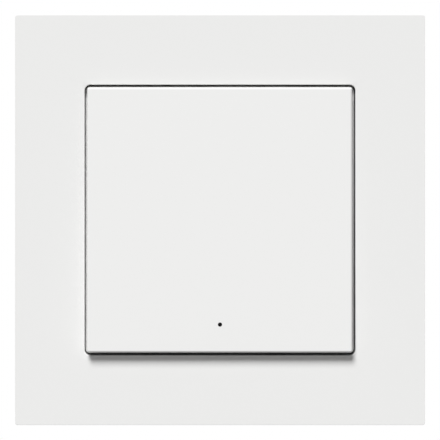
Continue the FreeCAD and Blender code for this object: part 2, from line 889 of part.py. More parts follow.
def rocker_skirt():
    """Foot of the rocker's walls, stepped out so that little light gets past it."""
    half = opening_side / 2 - skirt_gap
    widening = (skirt_top - rocker_rear) * rocker_draft
    centre = (rocker_slide, rocker_lift)
    skirt = frustum(2 * (half + widening), 2 * half, rocker_rear, skirt_top, centre)
    return skirt.makeFillet(skirt_corner, corner_edges(skirt))


def face_depth(y):
    """Distance of the rocker's sloping face from the wall at one height."""
    return rocker_front_middle - y * rocker_slope


def corner_edges(shape):
    """The four edges of the rocker's body that lead out from the wall."""
    return [edge for edge in shape.Edges if edge.BoundBox.ZLength > rocker_wall]


def sloping_edges(shape):
    """Edges of the rocker that lie in its face."""
    found = []
    for edge in shape.Edges:
        ends = [edge.valueAt(value) for value in edge.ParameterRange]
        if all(abs(point.z - face_depth(point.y)) < 1e-3 for point in ends):
            found.append(edge)
    return found


def under_face_rib(x_range, y_range, drop):
    """Rib that follows the underside of the sloping face."""
    low, high = y_range
    root = rocker_face / 2
    side_view = [
        (low, face_depth(low) - rocker_face - drop),
        (high, face_depth(high) - rocker_face - drop),
        (high, face_depth(high) - root),
        (low, face_depth(low) - root),
    ]
    return prism(side_view, ALONG_X, x_range[0], x_range[1])


def make_rocker():
    """The large rocker: sloping face, skirt, clip lugs, press bosses and stop ribs."""
    outer = rocker_body(0, rocker_rear, 0)
    outer = outer.makeFillet(rocker_edge, corner_edges(outer) + sloping_edges(outer))
    outer = fuse([outer, rocker_skirt()])
    pieces = [outer.cut(rocker_body(rocker_wall, rocker_rear - overcut, rocker_face))]

    inner_wall = rocker_reach(pivot_depth) - rocker_wall
    lug_inner = pin_start + lug_play
    lug_length = inner_wall - lug_inner + rocker_wall / 2
    for side in (-1, 1):
        start = side * lug_inner + rocker_slide
        foot = pivot_point(min(start, start + side * lug_length))
        pieces.append(Part.makeCylinder(lug_radius, lug_length, foot, ALONG_X))

    boss_tip = plunger_tip + press_gap
    for y in (-switch_place, switch_place):
        root = face_depth(y) - rocker_face / 2
        pieces.append(rod(press_boss_radius, boss_tip, root, (0, y)))
    half = stop_rib_thick / 2
    near, far = stop_rib_span
    stop_tip = housing_front + far * math.sin(rocker_swing) + stop_gap
    for x in (-stop_rib_x, stop_rib_x):
        for y in (-1, 1):
            root = face_depth(y * near) - rocker_face / 2
            pieces.append(block((x - half, x + half), (y * near, y * far), (stop_tip, root)))
    pieces.append(under_face_rib((-half, half), (-switch_place, switch_place), spine_drop))
    middle = (near + far) / 2
    for y in (-middle, middle):
        ribs = (y - half, y + half)
        pieces.append(under_face_rib((-stop_rib_x, stop_rib_x), ribs, spine_drop))
    rocker = fuse(pieces)

    cuts = [rod(indicator_radius, pipe_tip, rocker_front_bottom + overcut, (0, led_y))]
    notch_width, notch_deep = pry_notch
    rim = (-rocker_side, -rocker_side / 2 + 2 * rocker_wall)
    notch = (rocker_rear - overcut, rocker_rear + notch_deep)
    cuts.append(block((-notch_width / 2, notch_width / 2), rim, notch))
    lug_end = inner_wall
    for side in (-1, 1):
        start = side * (lug_inner - overcut) + rocker_slide
        end = side * lug_end + rocker_slide
        low, high = min(start, end), max(start, end)
        bore = Part.makeCylinder(pin_radius + pin_fit, high - low, pivot_point(low), ALONG_X)
        mouth = (-lug_mouth / 2, lug_mouth / 2)
        foot = pivot_depth - lug_foot
        cuts.append(bore)
        cuts.append(block((low, high), mouth, (foot - overcut, pivot_depth)))
        wide = (-lug_radius - overcut, lug_radius + overcut)
        outer_end = side * (lug_end + rocker_wall) + rocker_slide
        cuts.append(block((start, outer_end), wide, (foot - 2 * overcut, foot)))
    return rocker.cut(Part.makeCompound(cuts))


def stand(shape):
    """The shape turned from lying on its back to its place on an upright wall."""
    upright = shape.copy()
    upright.rotate(Vector(0, 0, 0), ALONG_X, 90)
    return upright


pieces = {
    "mounting_plate": make_mounting_plate(),
    "adhesive_pads": make_adhesive_pads(),
    "cover_frame": make_cover_frame(),
    "unit_housing": make_unit_housing(),
    "rear_cover": make_rear_cover(),
    "cover_screws": make_cover_screws(),
    "circuit_board": make_circuit_board(),
    "radio_shield": make_radio_shield(),
    "microcontroller": make_microcontroller(),
    "buffer_capacitor": make_buffer_capacitor(),
    "crystal": make_crystal(),
    "antenna_wire": make_antenna_wire(),
    "switch_body_top": make_switch_body(switch_place),
    "switch_body_bottom": make_switch_body(-switch_place),
    "plunger_top": make_plunger(switch_place),
    "plunger_bottom": make_plunger(-switch_place),
    "switch_spring_top": make_switch_spring(switch_place),
    "switch_spring_bottom": make_switch_spring(-switch_place),
    "system_switch": make_system_switch(),
    "system_button": make_system_button(),
    "status_led": make_status_led(),
    "light_pipe": make_light_pipe(),
    "battery_left": make_battery(),
    "battery_right": half_turned(make_battery()),
    "battery_plate_left": make_battery_plate(),
    "battery_plate_right": half_turned(make_battery_plate()),
    "battery_spring_left": make_battery_spring(),
    "battery_spring_right": half_turned(make_battery_spring()),
    "rocker": make_rocker(),
}

os.makedirs("parts", exist_ok=True)
for name, shape in pieces.items():
    if not shape.isValid():
        print("not a valid solid:", name)
    upright = stand(shape)
    upright.exportStep(f"parts/{name}.step")
    print(name, "solids", len(upright.Solids), "volume", round(upright.Volume, 1))
print("pieces", len(pieces), "frame", round(frame_side, 2), "wide")
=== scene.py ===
# %% [markdown]
# # A wall switch with one large rocker
#
# The object is a wireless switch in white plastic: a square cover frame, a rocker that fills its
# opening, and behind them a dark housing with two battery cells, hooked onto a thin wall plate.
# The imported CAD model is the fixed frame. Everything here is placed by it, in metres, with the
# wall face at Y = 0, the front looking along -Y, and Z up.

# %% Load the frame
import math

import bmesh
import bpy
from mathutils import Matrix, Vector


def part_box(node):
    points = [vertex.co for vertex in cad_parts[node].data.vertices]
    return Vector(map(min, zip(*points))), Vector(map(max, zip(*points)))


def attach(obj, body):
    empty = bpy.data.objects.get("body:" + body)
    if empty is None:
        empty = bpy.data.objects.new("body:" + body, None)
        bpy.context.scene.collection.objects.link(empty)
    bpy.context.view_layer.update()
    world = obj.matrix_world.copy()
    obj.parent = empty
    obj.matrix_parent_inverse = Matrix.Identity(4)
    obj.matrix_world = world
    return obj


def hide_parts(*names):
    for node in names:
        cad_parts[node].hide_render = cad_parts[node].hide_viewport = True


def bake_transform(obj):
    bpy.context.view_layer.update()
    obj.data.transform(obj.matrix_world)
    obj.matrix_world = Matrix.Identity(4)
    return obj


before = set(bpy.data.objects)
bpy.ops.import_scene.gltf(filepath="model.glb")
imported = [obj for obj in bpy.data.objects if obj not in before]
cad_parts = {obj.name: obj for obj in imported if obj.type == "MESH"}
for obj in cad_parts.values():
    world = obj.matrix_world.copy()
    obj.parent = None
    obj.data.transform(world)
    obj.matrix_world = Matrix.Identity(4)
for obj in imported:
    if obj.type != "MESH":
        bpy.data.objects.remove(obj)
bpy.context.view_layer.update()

print("CAD nodes:", len(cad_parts))

# %% [markdown]
# ## Sizes
#
# Lengths are written in millimetres, as a drawing would have them, and `mm` turns them to metres.
# A depth is a distance from the wall face. Outer sizes are read from the frame, so that a piece
# drawn here can't drift away from the solid that it stands for. Corners that lie closer together
# than `weld` count as one.

# %% Sizes that several pieces share
def mm(length):
    """Millimetres as metres."""
    return length / 1000


weld = mm(0.002)


def half_and_depths(node):
    """A node's half width, and its distances from the wall at the back and at the front."""
    low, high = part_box(node)
    return (high.x - low.x) / 2, -high.y, -low.y


frame_half, frame_rear, frame_front = half_and_depths("cover_frame")
print("frame", round(frame_half * 2000, 2), "mm wide, front", round(frame_front * 1000, 2))

# %% [markdown]
# ## Materials
#
# Each finish starts from what the real surface is. Colours are sRGB hex values, as they would be
# read off a photograph, and one function turns them to the linear values that shading works in.
# A second one adds a node: a socket that is handed another socket is linked to it, and any other
# value is set on it, so that a material reads as a list. Sockets that share a name are told apart
# by their number.

# %% Colour and nodes
def linear(hex_colour):
    """Linear RGBA of an sRGB hex colour."""
    channels = [int(hex_colour[start:start + 2], 16) / 255 for start in (1, 3, 5)]
    turned = [
        value / 12.92 if value <= 0.04045 else ((value + 0.055) / 1.055) ** 2.4
        for value in channels
    ]
    return (*turned, 1.0)


def add_node(tree, kind, sockets=(), **settings):
    """One node with its settings, and with each socket linked or set."""
    node = tree.nodes.new(kind)
    for name, value in settings.items():
        setattr(node, name, value)
    for key, value in dict(sockets).items():
        if isinstance(value, bpy.types.NodeSocket):
            tree.links.new(value, node.inputs[key])
        else:
            node.inputs[key].default_value = value
    return node


def new_material(name):
    """Empty node material: the material, its tree, and the piece's own coordinates."""
    material = bpy.data.materials.new(name)
    material.use_nodes = True
    tree = material.node_tree
    tree.nodes.clear()
    where = add_node(tree, "ShaderNodeTexCoord").outputs["Object"]
    return material, tree, where


def two_tones(tree, factor, first, second):
    """Colour between two hex colours."""
    tones = {0: factor, 6: linear(first), 7: linear(second)}
    return add_node(tree, "ShaderNodeMix", tones, data_type="RGBA").outputs[2]


def noise(tree, where, size, detail):
    """Noise with features of one size in millimetres, as a factor."""
    sockets = {"Vector": where, "Scale": 1 / mm(size), "Detail": detail}
    return add_node(tree, "ShaderNodeTexNoise", sockets).outputs["Fac"]


def bumped(tree, height, strength, relief):
    """Normal bent by a height factor, whose relief is in millimetres."""
    sockets = {"Height": height, "Strength": strength, "Distance": mm(relief)}
    return add_node(tree, "ShaderNodeBump", sockets).outputs["Normal"]


def uneven_gloss(tree, factor, roughness, swing):
    """Roughness that swings to both sides of a value with the middle of a noise."""
    sockets = {"Value": factor, 1: 0.3, 2: 0.7, 3: roughness - swing, 4: roughness + swing}
    return add_node(tree, "ShaderNodeMapRange", sockets).outputs["Result"]


def stretched(tree, where, scale):
    """Coordinates scaled along each axis."""
    return add_node(tree, "ShaderNodeMapping", {"Vector": where, "Scale": scale}).outputs["Vector"]


def finish_surface(tree, sockets):
    """Surface shader with these sockets, led to the output."""
    shader = add_node(tree, "ShaderNodeBsdfPrincipled", sockets)
    add_node(tree, "ShaderNodeOutputMaterial", {"Surface": shader.outputs["BSDF"]})


# %% [markdown]
# ### Moulded plastics
#
# A moulded face is never optically flat. The mould is spark-eroded, which leaves a fine grain of
# about 0.2 mm, and the part shrinks as it cools, which leaves a slow waviness of some 15 mm in its
# gloss. The grain goes into the bump, the waviness into colour and roughness, both from noise on
# Object coordinates, whose unit is the metre.

# %% One function for the moulded plastics
def moulded(name, colour, shade, roughness, grain=0.2, relief=0.006, wave=15.0):
    """Plastic from a spark-eroded mould: two close tones, a waviness and a fine grain."""
    material, tree, where = new_material(name)
    waves = noise(tree, where, wave, detail=2.0)
    specks = noise(tree, where, grain, detail=1.0)
    finish_surface(tree, {
        "Base Color": two_tones(tree, waves, colour, shade), "IOR": 1.5,
        "Roughness": uneven_gloss(tree, waves, roughness, swing=0.04),
        "Normal": bumped(tree, specks, 0.6, relief),
    })
    return material


# White ABS with a satin face: clean, very light, a soft gloss without a mirror image.
white_abs = moulded("white_satin_abs", "#f4f4f3", "#f1f1f0", 0.42)
# The same plastic on the wall side, from a coarser, unpolished mould half.
plate_abs = moulded("light_grey_abs", "#e4e4e1", "#dededb", 0.55, grain=0.35, relief=0.012)
# Glass-filled charcoal blend of the inner housing: dark, rather matt, with flow marks.
housing_blend = moulded(
    "charcoal_housing_blend", "#2b2b2d", "#232325", 0.5, grain=0.3, relief=0.015, wave=9.0
)
# Black nylon of the key switches' cases.
switch_nylon = moulded("black_switch_nylon", "#1c1c1d", "#161617", 0.45, grain=0.15)
# Natural acetal of the plungers: white, a little waxy.
plunger_acetal = moulded("white_acetal", "#eceae4", "#e6e4dc", 0.35, grain=0.15)
# Mid grey ABS of the small system button.
button_abs = moulded("mid_grey_abs", "#77787a", "#6f7072", 0.45)
# Epoxy of the chip: almost black and matt, with a sandy grain.
chip_epoxy = moulded("black_epoxy", "#1a1a1c", "#141416", 0.65, grain=0.12, relief=0.01)
# White case of the status light.
lamp_case = moulded("white_lamp_case", "#efeee6", "#e8e6db", 0.3, grain=0.1)
print("first plastic:", white_abs.name)

# %% [markdown]
# ### Metals
#
# A metal's colour is its reflection, so it goes into the base colour with metallic at 1, and the
# default IOR stays. What tells one finish from another is the direction and depth of its fine
# marks: drawn and rolled sheet has lines one way, and plating has an even, slightly cloudy gloss.

# %% One function for the metals
def metal(name, colour, roughness, lines=0.15, stretch=40.0, relief=0.002):
    """Bare or plated metal, with fine lines along Z from drawing or rolling."""
    material, tree, where = new_material(name)
    drawn = stretched(tree, where, (1, 1, 1 / stretch))
    marks = noise(tree, drawn, lines, detail=2.0)
    clouds = noise(tree, where, 3.0, detail=3.0)
    finish_surface(tree, {
        "Base Color": linear(colour), "Metallic": 1.0,
        "Roughness": uneven_gloss(tree, clouds, roughness, swing=0.06),
        "Normal": bumped(tree, marks, 0.5, relief),
    })
    return material


# Rolled sheet of the radio shield and the crystal, dipped in tin: grey, half bright.
tinned_sheet = metal("tinned_steel_sheet", "#c9c8c4", 0.34)
# Drawn can of the capacitor.
drawn_aluminium = metal("drawn_aluminium", "#d6d6d6", 0.28, stretch=12.0)
# Aerial wire.
tinned_wire = metal("tinned_copper_wire", "#d3cfc6", 0.25)
# Hard drawn wire of the key switch springs.
spring_steel = metal("drawn_spring_steel", "#b3b3b2", 0.3)
# Nickel on the battery contacts and on the ends of the cells: warm and bright.
nickel_plate = metal("nickel_plated_steel", "#cfcabd", 0.22, relief=0.001)
# Zinc on the screws: cooler, a little cloudy, with no lines.
zinc_plate = metal("zinc_plated_steel", "#bfc0bd", 0.36, lines=0.4, stretch=1.0)
print("first metal:", tinned_sheet.name)

# %% [markdown]
# ### Battery sleeve
#
# A cell is wrapped in a printed film that is shrunk round it. It is glossy, and towards the plus
# end the print changes to a pale band. The band is worked out from the height alone.

# %% Printed shrink film
def shrink_film(name, colour, band_colour, band_low, band_high):
    """Glossy printed film with a pale band between two heights."""
    material, tree, where = new_material(name)
    height = add_node(tree, "ShaderNodeSeparateXYZ", {"Vector": where}).outputs["Z"]
    above = add_node(tree, "ShaderNodeMath", {0: height, 1: band_low}, operation="GREATER_THAN")
    below = add_node(tree, "ShaderNodeMath", {0: height, 1: band_high}, operation="LESS_THAN")
    band = add_node(
        tree, "ShaderNodeMath", {0: above.outputs[0], 1: below.outputs[0]}, operation="MULTIPLY"
    ).outputs[0]
    pulls = noise(tree, where, 2.5, detail=1.0)
    finish_surface(tree, {
        "Base Color": two_tones(tree, band, colour, band_colour),
        "Normal": bumped(tree, pulls, 0.3, 0.03),
        "Roughness": 0.22, "Coat Weight": 0.4, "Coat Roughness": 0.08,
    })
    return material


plus_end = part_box("battery_left")[1].z
band_top = plus_end - mm(2)
band_foot = plus_end - mm(12)
film_tones = ("#42586e", "#c4ccd2")
left_film = shrink_film("blue_grey_film_left", *film_tones, band_foot, band_top)
right_film = shrink_film("blue_grey_film_right", *film_tones, -band_top, -band_foot)
print("films:", left_film.name, right_film.name)

# %% [markdown]
# ### Tape, board and clear rod
#
# The plate's adhesive pads still wear their liner: waxed paper, a warm white with a faint fibre.
# The circuit board is glass fibre under green solder mask, with copper tracks just raised below
# it, which a brick pattern of the right pitch gives. The light pipe is acrylic with a near-black
# tint that is painted shade: its end looks black in the pinhole, as the dark hole would.

# %% Liner paper, solder mask and acrylic
def liner_paper():
    """Waxed paper on the adhesive pads: warm white, with long soft fibres."""
    material, tree, where = new_material("waxed_liner_paper")
    fibres = noise(tree, stretched(tree, where, (1, 1, 0.2)), 0.5, detail=4.0)
    finish_surface(tree, {
        "Base Color": two_tones(tree, fibres, "#efe9d9", "#dfd6c0"),
        "Normal": bumped(tree, fibres, 0.4, 0.02),
        "Roughness": 0.38, "Coat Weight": 0.2, "Coat Roughness": 0.3,
    })
    return material


def solder_mask():
    """Green lacquer over copper tracks 0.5 mm wide."""
    material, tree, where = new_material("green_solder_mask")
    flat = add_node(
        tree, "ShaderNodeMapping", {"Vector": where, "Rotation": (math.radians(90), 0, 0)}
    ).outputs["Vector"]
    tracks = add_node(tree, "ShaderNodeTexBrick", {
        "Vector": flat, "Scale": 1.0, "Mortar Size": mm(0.25), "Brick Width": mm(6.0),
        "Row Height": mm(2.0), "Color1": linear("#1c5a35"), "Color2": linear("#1e5f38"),
        "Mortar": linear("#2f8050"),
    })
    finish_surface(tree, {
        "Base Color": tracks.outputs["Color"], "Roughness": 0.3,
        "Normal": bumped(tree, tracks.outputs["Fac"], 0.5, 0.035),
    })
    return material


def acrylic_dark_as_pinhole_shade():
    """Acrylic of the light pipe, tinted near black as painted shade, with the faint ripple of its
    mould.
    """
    material, tree, where = new_material("acrylic_dark_as_pinhole_shade")
    ripple = noise(tree, where, 0.8, detail=1.0)
    finish_surface(tree, {
        # The near-black base colour is painted shade: it makes the pinhole look dark.
        "Base Color": linear("#17181a"), "Normal": bumped(tree, ripple, 0.3, 0.01),
        "Roughness": 0.12, "IOR": 1.49, "Transmission Weight": 0.85,
    })
    return material


paper = liner_paper()
mask = solder_mask()
acrylic = acrylic_dark_as_pinhole_shade()
print("others:", paper.name, mask.name, acrylic.name)

# %% [markdown]
# ### CAD nodes that keep their shape
#
# Plates, cases and small parts that the CAD draws as they are keep their meshes and only take a
# finish. The material is linked to the object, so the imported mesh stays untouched.

# %% Finishes of the carried-over nodes
finishes = {
    plate_abs: ["mounting_plate"],
    paper: ["adhesive_pads"],
    housing_blend: ["unit_housing", "rear_cover"],
    zinc_plate: ["cover_screws"],
    mask: ["circuit_board"],
    tinned_sheet: ["radio_shield", "crystal"],
    chip_epoxy: ["microcontroller"],
    drawn_aluminium: ["buffer_capacitor"],
    tinned_wire: ["antenna_wire"],
    switch_nylon: ["switch_body_top", "switch_body_bottom", "system_switch"],
    plunger_acetal: ["plunger_top", "plunger_bottom"],
    button_abs: ["system_button"],
    lamp_case: ["status_led"],
    acrylic: ["light_pipe"],
    nickel_plate: ["battery_plate_left", "battery_plate_right"],
}
for material, names in finishes.items():
    for name in names:
        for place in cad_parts[name].material_slots:
            place.link = "OBJECT"
            place.material = material
print("finished nodes:", sum(len(names) for names in finishes.values()))

# %% [markdown]
# ## A section carried round a square
#
# The frame and the rocker are both square things whose section runs round four sides. A circle
# with four segments, turned by an eighth, is a square loop. Extruding its edges and placing the
# new loop at the next point of the section gives clean quads and true mitres, where boxes joined
# with booleans would leave seams.

# %% Loops, and rounds on their edges
def ends_of(edges):
    """The corners at the ends of some edges, each once."""
    return list(dict.fromkeys(corner for edge in edges for corner in edge.verts))


def edges_at(corners):
    """The edges that meet at some corners, each once."""
    return list(dict.fromkeys(edge for corner in corners for edge in corner.link_edges))


def loop_facing_room(bm, corners, radius, depth, centre=(0.0, 0.0), turned=0.0):
    """Edges of a closed loop at one distance from the wall."""
    place = Matrix.Translation(Vector((centre[0], -depth, centre[1])))
    upright = Matrix.Rotation(math.radians(90), 4, "X")
    turn = Matrix.Rotation(math.radians(turned), 4, "Z")
    made = bmesh.ops.create_circle(
        bm, segments=corners, radius=radius, matrix=place @ upright @ turn
    )
    return edges_at(made["verts"])


def place_loop(corners, half, depth_at, centre):
    """Puts the corners of a square loop at one half width, at a depth that may lean."""
    for corner in corners:
        corner.co.x = centre[0] + math.copysign(half, corner.co.x - centre[0])
        corner.co.z = centre[1] + math.copysign(half, corner.co.z - centre[1])
        corner.co.y = -depth_at(corner.co.z)


def carried_round(bm, section, centre=(0.0, 0.0)):
    """Walls along a section of (half width, depth) pairs; returns the first and last loop."""
    half, depth_at = section[0]
    first = loop_facing_room(bm, 4, half * math.sqrt(2), 0.0, centre, turned=45)
    place_loop(ends_of(first), half, depth_at, centre)
    edges = first
    for half, depth_at in section[1:]:
        made = bmesh.ops.extrude_edge_only(bm, edges=edges)["geom"]
        corners = [item for item in made if isinstance(item, bmesh.types.BMVert)]
        edges = [
            item for item in made
            if isinstance(item, bmesh.types.BMEdge) and all(end in corners for end in item.verts)
        ]
        place_loop(corners, half, depth_at, centre)
    return first, edges


def level(depth):
    """The same depth at every height."""
    return lambda height: depth


def rounded(bm, edges, radius, steps):
    """Rounds edges to one radius."""
    bmesh.ops.bevel(
        bm, geom=edges, offset=radius, offset_type="OFFSET", segments=steps, profile=0.5,
        affect="EDGES", material=-1, clamp_overlap=True,
    )


# %% Edges found by where they lie
def reach(corner, centre=(0.0, 0.0)):
    """How far a corner of a mesh lies from the middle, across or up."""
    return max(abs(corner.co.x - centre[0]), abs(corner.co.z - centre[1]))


def outward_edges(bm, near, far, centre=(0.0, 0.0)):
    """Edges that run out from the wall, with both ends between two reaches."""
    found = []
    for edge in bm.edges:
        along = (edge.verts[1].co - edge.verts[0].co).normalized()
        if abs(along.y) > 0.9 and all(near < reach(end, centre) < far for end in edge.verts):
            found.append(edge)
    return found


def level_edges(bm, depth_at, near, far, centre=(0.0, 0.0)):
    """Edges that lie in a front surface, with both ends between two reaches."""
    close = mm(0.01)
    return [
        edge for edge in bm.edges
        if all(
            abs(-end.co.y - depth_at(end.co.z)) < close and near < reach(end, centre) < far
            for end in edge.verts
        )
    ]


# %% [markdown]
# A moulded piece is flat faces with small rounds between them. Plain smooth shading would bend
# the light over the flat faces as well, so a modifier weighs each corner's normal by the area of
# the faces round it. The large flat face wins, and only the round shades as round. The unit and
# whatever moves in it each have a body, and the piece rides on the one that it belongs to.

# %% A finished mesh becomes a piece
def piece(bm, name, materials, body, replaced=(), sharp=40):
    """Object of a finished mesh, riding on a body and standing for the nodes it replaces."""
    bmesh.ops.remove_doubles(bm, verts=bm.verts, dist=weld)
    bmesh.ops.recalc_face_normals(bm, faces=bm.faces)
    for face in bm.faces:
        face.smooth = True
    for edge in bm.edges:
        edge.smooth = edge.is_manifold and edge.calc_face_angle() < math.radians(sharp)
    mesh = bpy.data.meshes.new(name)
    bm.to_mesh(mesh)
    bm.free()
    for material in materials:
        mesh.materials.append(material)
    made = bpy.data.objects.new(name, mesh)
    bpy.context.scene.collection.objects.link(made)
    even = made.modifiers.new("face_weighted_normals", "WEIGHTED_NORMAL")
    even.weight = 100
    even.keep_sharp = True
    if body:
        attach(made, body)
    if replaced:
        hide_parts(*replaced)
    print(name, "faces", len(mesh.polygons))
    return made


def beam(bm, low, high, edge=0.0):
    """Rectangular bar between two corners, with its edges just broken."""
    middle = (Vector(low) + Vector(high)) / 2
    size = Vector(high) - Vector(low)
    place = Matrix.Translation(middle) @ Matrix.Diagonal((*size, 1.0))
    made = bmesh.ops.create_cube(bm, size=1.0, matrix=place)
    if edge:
        rounded(bm, edges_at(made["verts"]), edge, 1)


# %% [markdown]
# ## Cover frame
#
# The frame is one moulding: a flat face, a skirt down to the wall and a collar round the rocker,
# with ribs between them and four snap hooks. The photograph shows the face alone, and the rest is
# how such a frame is made. Its section has eight corners, and is carried round the square. The
# rounds come afterwards, each with its own radius, because the light that a 0.35 mm edge catches
# is what makes a white moulding look moulded.

# %% The frame's section
face_thick = mm(2.0)
skirt_thick = mm(1.8)
collar_thick = mm(1.4)
opening_half = mm(28.4)
collar_rear = mm(8.4)
collar_half = opening_half + collar_thick
skirt_inner = frame_half - skirt_thick
inner_face = frame_front - face_thick

bm = bmesh.new()
section = [
    (frame_half, level(frame_rear)), (frame_half, level(frame_front)),
    (opening_half, level(frame_front)), (opening_half, level(collar_rear)),
    (collar_half, level(collar_rear)), (collar_half, level(inner_face)),
    (skirt_inner, level(inner_face)), (skirt_inner, level(frame_rear)),
]
carried_round(bm, section + section[:1])
bmesh.ops.remove_doubles(bm, verts=bm.verts, dist=weld)
print("frame's section:", len(bm.faces), "faces")

# %% Its rounded corners and edges
# Edges are found by where they lie, give or take a hair. The search along a rim reaches further
# in, because the rim's corners are round by then.
hair = mm(0.05)
corner_steps, edge_steps = 5, 4
rim_search = mm(0.6)
corner_radii = {
    frame_half: mm(0.5), skirt_inner: mm(0.5), collar_half: mm(2.6), opening_half: mm(1.2),
}
for half, radius in corner_radii.items():
    rounded(bm, outward_edges(bm, half - hair, half + hair), radius, corner_steps)

for half, radius in ((frame_half, mm(0.35)), (opening_half, mm(0.15))):
    rim = level_edges(bm, level(frame_front), half - rim_search, half + hair)
    rounded(bm, rim, radius, edge_steps)
print("rounded:", len(bm.faces), "faces")

# %% [markdown]
# The ribs and hooks are drawn at one side, and what was added is turned to the side that it
# belongs to. They sink a little into the face, so that no seam shows where they meet it. Ribs
# stand at all four sides, hooks at the left and the right.

# %% Ribs and snap hooks
rib_places = [mm(-22.0), 0.0, mm(22.0)]
rib_half = mm(0.6)
rib_rear = inner_face - mm(3.0)
root = mm(0.5)
hook_places = [mm(-12.0), mm(12.0)]
hook_half = mm(4.0)
hook_line = mm(32.3)
hook_arm = mm(1.25)
hook_nose_front = mm(6.75)
hook_nose_rear = mm(5.6)
hook_tip = mm(31.2)
hook_edge = mm(0.15)


def turned_round(bm, before, quarters):
    """Turns what was added since a count of corners by quarters about the middle."""
    bm.verts.ensure_lookup_table()
    added = bm.verts[before:]
    turn = Matrix.Rotation(math.radians(90 * quarters), 3, "Y")
    bmesh.ops.rotate(bm, verts=added, cent=(0, 0, 0), matrix=turn)


for quarters in range(4):
    for place in rib_places:
        before = len(bm.verts)
        beam(
            bm, (collar_half - root, -inner_face - root, place - rib_half),
            (skirt_inner + root, -rib_rear, place + rib_half),
        )
        turned_round(bm, before, quarters)
for quarters in (0, 2):
    for place in hook_places:
        before = len(bm.verts)
        beam(
            bm, (hook_line, -inner_face - root, place - hook_half),
            (hook_line + hook_arm, -hook_nose_rear, place + hook_half), hook_edge,
        )
        beam(
            bm, (hook_tip, -hook_nose_front, place - hook_half),
            (hook_line + hook_arm / 2, -hook_nose_rear, place + hook_half), hook_edge,
        )
        turned_round(bm, before, quarters)
piece(bm, "cover_frame_moulding", [white_abs], "wall_unit", ["cover_frame"])

# %% [markdown]
# ## Rocker
#
# The rocker is a square tray, face out. Its face leans: its foot stands 1.6 mm further out than
# its head, and its four sides widen a little towards the wall so that it leaves the mould. A step
# just below the frame's face makes its skirt wider still, and the light catches it in the gap.
# Towards the head and the foot the skirt needs room to swing. At the sides it doesn't, and there
# it fills more of the gap. The tray is six loops: face, step, skirt, rim, inner rim and underside.
# Low in the face is the pinhole of the status light, 0.9 mm across.

# %% The rocker's tray
rocker_centre = (mm(-0.07), mm(0.05))
rocker_side = mm(55.5)
rocker_middle = mm(16.6)
rocker_tip = mm(1.6)
rim_depth = mm(9.6)
face_wall = mm(1.6)
side_wall = mm(1.5)
skirt_depth = frame_front - mm(1.8)
skirt_half = opening_half - mm(0.35)
side_skirt = mm(0.15)
skirt_round = mm(1.0)
edge_round = mm(0.43)
draft = math.tan(math.radians(0.8))
lean = math.atan(rocker_tip / rocker_side)
step_half = rocker_side / 2 + (rocker_middle - skirt_depth) * draft
rim_half = skirt_half + (skirt_depth - rim_depth) * draft
inner_half = rocker_side / 2 + (rocker_middle - rim_depth) * draft - side_wall
underside_half = rocker_side / 2 + face_wall * draft - side_wall


def face_depth(height):
    """Distance of the rocker's leaning face from the wall at one height."""
    return rocker_middle - height * math.tan(lean)


def under_depth(height):
    """The same for the underside of the face."""
    return face_depth(height) - face_wall


bm = bmesh.new()
ends = carried_round(bm, [
    (rocker_side / 2, face_depth), (step_half, level(skirt_depth)),
    (skirt_half, level(skirt_depth)), (rim_half, level(rim_depth)),
    (inner_half, level(rim_depth)), (underside_half, under_depth),
], rocker_centre)
for loop in ends:
    bmesh.ops.contextual_create(bm, geom=loop)
for corner in bm.verts:
    if reach(corner, rocker_centre) > skirt_half - hair:
        corner.co.x += math.copysign(side_skirt, corner.co.x)
print("tray:", len(bm.faces), "faces")

# %% Its rounded edges
skirt_far = rim_half + side_skirt + hair
skirt_edges = outward_edges(bm, skirt_half - hair, skirt_far, rocker_centre)
rounded(bm, skirt_edges, skirt_round, corner_steps)
near = rocker_side / 2 - hair
far = step_half + hair
face_edges = (
    outward_edges(bm, near, far, rocker_centre)
    + level_edges(bm, face_depth, near, far, rocker_centre)
)
rounded(bm, face_edges, edge_round, corner_steps)
print("rounded:", len(bm.faces), "faces")

# %% [markdown]
# At the middle of the foot the rim has a shallow notch, where a fingernail lifts the rocker off.
# Planes slice the wall at the notch's sides and end, the faces inside go, and three new faces
# close the cut.

# %% The notch in the rim
notch_half = mm(5.0)
notch_end = rim_depth + mm(1.2)
wall_low = rocker_centre[1] - rim_half - hair
wall_high = rocker_centre[1] - inner_half + 2 * hair
cut_close = mm(0.001)


def foot_faces(bm):
    """Faces of the rocker's wall at its foot."""
    return [
        face for face in bm.faces
        if all(wall_low < corner.co.z < wall_high for corner in face.verts)
    ]


def in_notch(corner):
    """Whether a corner of the foot's wall lies within the notch or on its border."""
    across = abs(corner.co.x) < notch_half + hair
    return across and -corner.co.y < notch_end + hair and wall_low < corner.co.z < wall_high


for point, normal in (
    ((-notch_half, 0, 0), (1, 0, 0)), ((notch_half, 0, 0), (1, 0, 0)),
    ((0, -notch_end, 0), (0, 1, 0)),
):
    around = list(dict.fromkeys(
        item for face in foot_faces(bm) for item in (*face.verts, *face.edges, face)
    ))
    bmesh.ops.bisect_plane(bm, geom=around, dist=cut_close, plane_co=point, plane_no=normal)

cut_faces = [face for face in foot_faces(bm) if all(in_notch(corner) for corner in face.verts)]
bmesh.ops.delete(bm, geom=cut_faces, context="FACES")
open_ends = ends_of(edge for edge in bm.edges if edge.is_boundary)
border = [corner for corner in open_ends if in_notch(corner)]
left_wall = [corner for corner in border if corner.co.x < -notch_half + hair]
right_wall = [corner for corner in border if corner.co.x > notch_half - hair]
end_wall = [corner for corner in border if -corner.co.y > notch_end - hair]
for corners in (left_wall, right_wall, end_wall):
    bmesh.ops.contextual_create(bm, geom=corners)
print("notched:", len(cut_faces), "faces cut,", len(border), "corners on its border")

# %% [markdown]
# A hole in a large flat face is cut by taking the face out and filling between its rim and a
# small circle. Done on the face and on the underside, the two circles are then bridged.

# %% The pinhole
pinhole_place = (0.0, mm(-21.86))
pinhole_radius = mm(0.45)
pinhole_corners = 24


